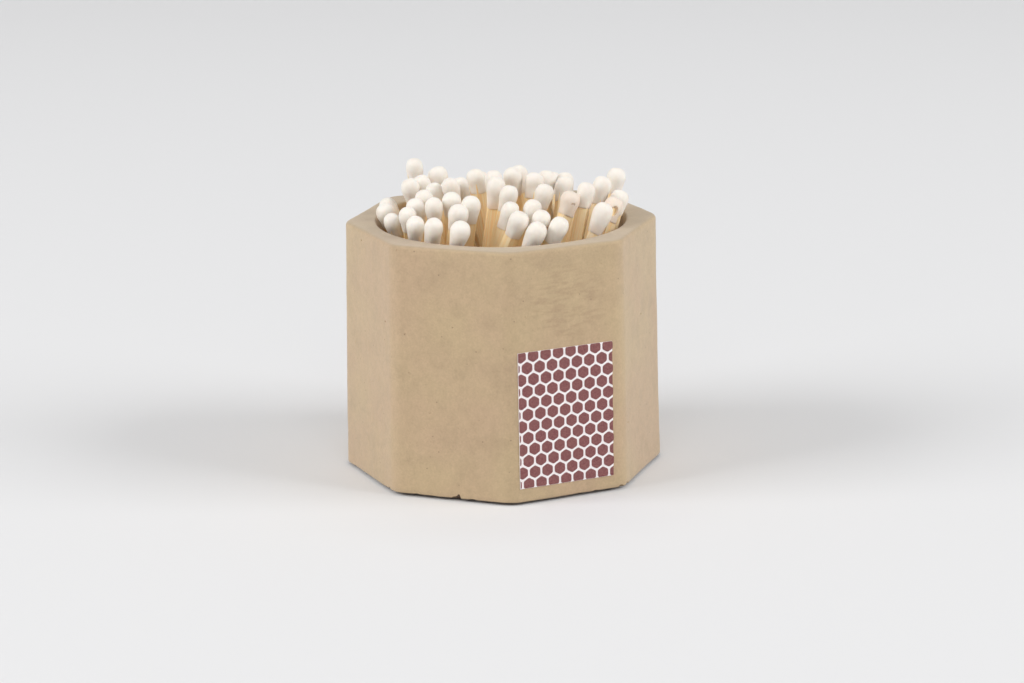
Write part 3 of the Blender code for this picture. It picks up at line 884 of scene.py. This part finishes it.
# %% [markdown]
# ## A bundle, no two alike
#
# Every match is a copy with a mesh of its own, set on the place of its engineering twin. Before it
# is set there, the dip is varied: longer or shorter, fuller or thinner, with its lower edge aslant.
# Once it stands in its place, cloud noise that is fixed in space bows the splint and swells the
# head, so each copy comes out different. The wood keeps its own coordinates in an attribute, since
# grain runs along a splint however it leans. Two heads were knocked, and flakes of compound broke
# away down to the wood.

# %% Vary, copy and place the matches
DIP_LENGTH_SHARES = (0.84, 0.99)
DIP_WIDTH_SHARES = (0.95, 1.03)
WIDE_AND_SLIM_HEADS = {
    "match_01": 0.90, "match_04": 1.06, "match_05": 1.05, "match_06": 1.08, "match_08": 1.06,
    "match_12": 0.97, "match_15": 1.07, "match_20": 1.04,
}
LONG_DIPS = {"match_06": 1.04, "match_08": 1.12, "match_27": 1.04, "match_29": 1.04}
WIDENING_PER_SHARE = 3
EDGE_SLANT = 0.16
RAGGED_EDGE = 0.05 * MM
RAGGED_BELOW_SHARE = 0.1
HEAD_SMOOTHING = 2
HEAD_SWELL = 0.17 * MM
HEAD_SWELL_SIZE = 2.6 * MM
SPLINT_BOW = 0.22 * MM
SPLINT_BOW_SIZE = 20 * MM
GRAIN_STEP = 23 * MM
MATCH_SEED = 50
HEAD_FLAKES_MM = {
    # Below the tip, to the viewer's right, and radii across, into and along the head
    "match_09": (2.5, 0.45, (0.72, 0.95, 1.05)),
    "match_20": (2.0, 0.75, (0.55, 0.36, 0.32)),
}


def keep_own_place(piece, shift):
    """Store each corner's place on the unplaced match, shifted so that no two match."""
    points = np.array([corner.co for corner in piece.data.vertices]) + np.array(shift)
    own_place = piece.data.attributes.new("own_place", "FLOAT_VECTOR", "POINT")
    own_place.data.foreach_set("vector", points.astype(np.float32).ravel())


def varied_head(name, chance):
    """A copy of the head with its own length, width and slanting lower edge."""
    piece = copied(head, name.replace("match", "head"))
    width = WIDE_AND_SLIM_HEADS.get(name, chance.uniform(*DIP_WIDTH_SHARES))
    length = LONG_DIPS.get(name, chance.uniform(*DIP_LENGTH_SHARES))
    slant_x = chance.uniform(-EDGE_SLANT, EDGE_SLANT)
    slant_y = chance.uniform(-EDGE_SLANT, EDGE_SLANT)
    for corner in piece.data.vertices:
        share = (corner.co.z - neck) / HEAD_LENGTH
        corner.co.z = match_length - (match_length - corner.co.z) * length
        corner.co.z += (slant_x * corner.co.x + slant_y * corner.co.y) * max(0, 1 - share)
        widened = 1 + (width - 1) * min(1, share * WIDENING_PER_SHARE)
        corner.co.x *= widened
        corner.co.y *= widened
        if share < RAGGED_BELOW_SHARE:
            corner.co.z += chance.uniform(-RAGGED_EDGE, RAGGED_EDGE)
    smooth = piece.modifiers.new("smooth", "SUBSURF")
    smooth.levels = HEAD_SMOOTHING
    smooth.render_levels = HEAD_SMOOTHING
    apply_modifiers(piece)
    return piece


def break_flake(piece, name):
    """Break a flake of compound out of a placed head, on its side towards the viewer."""
    below_tip, right, radii = HEAD_FLAKES_MM[name]
    along = places[name].to_3x3() @ Vector((0, 0, 1))
    outward = (toward_viewer - along * toward_viewer.dot(along)).normalized()
    sideways = along.cross(outward)
    tip = places[name] @ Vector((0, 0, match_length))
    spot = tip - along * below_tip * MM + sideways * right * MM
    spot += outward * math.sqrt(max(0, head_radius**2 - (right * MM) ** 2))
    tool = copied(lump, "flake")
    turn = Matrix((sideways, -outward, along)).transposed()
    squeeze = Matrix.Diagonal([radius * MM for radius in radii])
    tool.data.transform(Matrix.Translation(spot) @ (turn @ squeeze).to_4x4())
    bite_out(piece, tool)


chance = random.Random(MATCH_SEED)
splints = {}
heads = {}
for number, name in enumerate(match_names):
    splints[name] = copied(splint, name.replace("match", "splint"))
    heads[name] = varied_head(name, chance)
    for piece in (splints[name], heads[name]):
        keep_own_place(piece, (number * GRAIN_STEP, 0, 0))
        piece.data.transform(places[name])
    add_waves(splints[name], "bow_x", SPLINT_BOW_SIZE, SPLINT_BOW, direction="X")
    add_waves(splints[name], "bow_y", SPLINT_BOW_SIZE, SPLINT_BOW, direction="Y")
    add_waves(heads[name], "swell", HEAD_SWELL_SIZE, HEAD_SWELL)
    apply_modifiers(splints[name])
    apply_modifiers(heads[name])
    if name in HEAD_FLAKES_MM:
        break_flake(heads[name], name)
    for piece in (splints[name], heads[name]):
        shade_smooth(piece)
        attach(piece, name)
        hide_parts(name)
for model in (splint, head, lump):
    bpy.data.objects.remove(model)
print("splints and heads:", len(splints) + len(heads))

# %% [markdown]
# ## Splint wood and match compound
#
# Poplar is pale, with a fine straight grain. The upper part was soaked in paraffin, so that the
# flame would climb, and waxed wood is deeper in colour. The head is chalk white filler with gum:
# nearly matt, slightly see-through, warmer at its thin lower edge, with fine wrinkles from drying.

# %% Splint wood
GRAIN_WIDTH = 0.26 * MM
GRAIN_LENGTH = 12 * MM
TONE_SIZE = 30 * MM
WAX_LENGTH = 16 * MM

wood, shader = new_material("poplar_splint")
place = add(wood, "Attribute", {}, attribute_name="own_place").outputs["Vector"]
height = add(wood, "SeparateXYZ", {0: place}).outputs["Z"]
stretched = add(
    wood, "Mapping",
    {"Vector": place, "Scale": (1 / GRAIN_WIDTH, 1 / GRAIN_WIDTH, 1 / GRAIN_LENGTH)},
)
grain = noise(wood, stretched.outputs[0], 1, 3.0, roughness=0.55)
tone = noise(wood, place, TONE_SIZE, 1.0)
grained = mixed(wood, ramp(wood, grain, 0.35, 0.7), colour("#FFF4D8"), colour("#FCD69E"))
toned = mixed(wood, ramp(wood, tone, 0.3, 0.7, top=0.35), grained, colour("#FFDC9E"))
wax_share = ramp(wood, height, neck - WAX_LENGTH, neck, top=0.20)
waxed = mixed(wood, wax_share, toned, colour("#FFD38A"))
grain_bump = add(wood, "Bump", {"Height": grain, "Strength": 0.4, "Distance": 0.05 * MM})
fill(wood, shader, {
    "Base Color": waxed,
    "Roughness": 0.5,
    "IOR": 1.5,
    "Subsurface Weight": 0.12,
    "Subsurface Radius": (1.0, 0.55, 0.25),
    "Subsurface Scale": 0.8 * MM,
    "Normal": grain_bump.outputs[0],
})

# %% Match compound
WRINKLE_SIZE = 0.28 * MM
STAIN_SIZE = 1.8 * MM

dip, shader = new_material("match_head_compound")
place = add(dip, "Attribute", {}, attribute_name="own_place").outputs["Vector"]
height = add(dip, "SeparateXYZ", {0: place}).outputs["Z"]
wrinkles = noise(dip, place, WRINKLE_SIZE, 3.0)
stains = ramp(dip, noise(dip, place, STAIN_SIZE, 2.0), 0.5, 0.75, top=0.5)
chalk = mixed(dip, stains, colour("#F3EDE4"), colour("#E9DBCD"))
thinness = ramp(dip, height, neck + HEAD_LENGTH / 3, neck, top=0.5)
thin_edge = mixed(dip, thinness, chalk, colour("#E8D0BA"))
wrinkled = add(dip, "Bump", {"Height": wrinkles, "Strength": 0.25, "Distance": 0.04 * MM})
fill(dip, shader, {
    "Base Color": thin_edge,
    "Roughness": 0.55,
    "IOR": 1.5,
    "Subsurface Weight": 0.2,
    "Subsurface Radius": (1.0, 0.7, 0.5),
    "Subsurface Scale": 0.5 * MM,
    "Normal": wrinkled.outputs[0],
})
for name in match_names:
    splints[name].data.materials.append(wood)
    heads[name].data.materials.append(dip)
print("nodes of wood and dip:", len(wood.node_tree.nodes), len(dip.node_tree.nodes))

# %% [markdown]
# ## Stage and light
#
# The pot stood on a pale floor between two large soft boxes. They give the faces their gentle
# difference and the soft shadows on both sides. A weaker one in front and higher up fills the two
# faces that look at the viewer, and a small one from behind lights the floor behind the pot, which
# fades towards the top of the picture. A plain surround adds a little light from everywhere, and
# looks bright itself, as a pale wall would.

# %% Floor, surround and lamps
FLOOR_SIZE = 2.6
FLOOR_COLOUR = "#E7E7E8"
SURROUND_STRENGTH = 0.32
SEEN_SURROUND_STRENGTH = 0.80
LAMPS = (
    # Name, turn from the camera and height angle in degrees, distance and size in metres, watts,
    # and how far behind the pot it aims, in metres
    ("left_soft_box", -72, 31, 1.40, 0.72, 10.8, 0),
    ("right_soft_box", 74, 31, 1.40, 0.72, 10.0, 0),
    ("front_soft_box", 0, 45, 1.40, 0.90, 4.0, 0),
    ("backdrop_soft_box", 180, 63, 1.00, 0.60, 1.6, 1.2),
)

bpy.ops.mesh.primitive_plane_add(size=FLOOR_SIZE)
floor = bpy.context.object
floor.name = "floor"
floor_paint, shader = new_material("floor_paper")
fill(floor_paint, shader, {"Base Color": colour(FLOOR_COLOUR), "Roughness": 0.9})
floor.data.materials.append(floor_paint)

surround = bpy.data.worlds.new("surround")
surround.use_nodes = True
bpy.context.scene.world = surround
background = surround.node_tree.nodes["Background"]
rays = add(surround, "LightPath", {})
seen = add(
    surround, "Math",
    {0: rays.outputs["Is Camera Ray"], 1: rays.outputs["Is Glossy Ray"]},
    operation="MAXIMUM",
)
strength = ramp(
    surround, seen.outputs[0], 0, 1, bottom=SURROUND_STRENGTH, top=SEEN_SURROUND_STRENGTH
)
fill(surround, background, {"Color": (1, 1, 1, 1), "Strength": strength})

pot_middle = Vector((0, 0, pot_height / 2))
level_to_viewer = Vector((toward_viewer.x, toward_viewer.y, 0)).normalized()
for name, turn, rise, distance, size, watts, aims_behind in LAMPS:
    azimuth = CAMERA_AZIMUTH + math.radians(turn)
    rise = math.radians(rise)
    outward = Vector((
        math.sin(azimuth) * math.cos(rise),
        -math.cos(azimuth) * math.cos(rise),
        math.sin(rise),
    ))
    bpy.ops.object.light_add(type="AREA", location=pot_middle + outward * distance)
    lamp = bpy.context.object
    lamp.name = name
    lamp.data.size = size
    lamp.data.energy = watts
    lamp.rotation_mode = "QUATERNION"
    lit_spot = pot_middle - level_to_viewer * aims_behind
    lamp.rotation_quaternion = (lit_spot - lamp.location).to_track_quat("-Z", "Y")
    print(name, "at, m:", [round(value, 2) for value in lamp.location])
bpy.context.scene.view_settings.view_transform = "Standard"
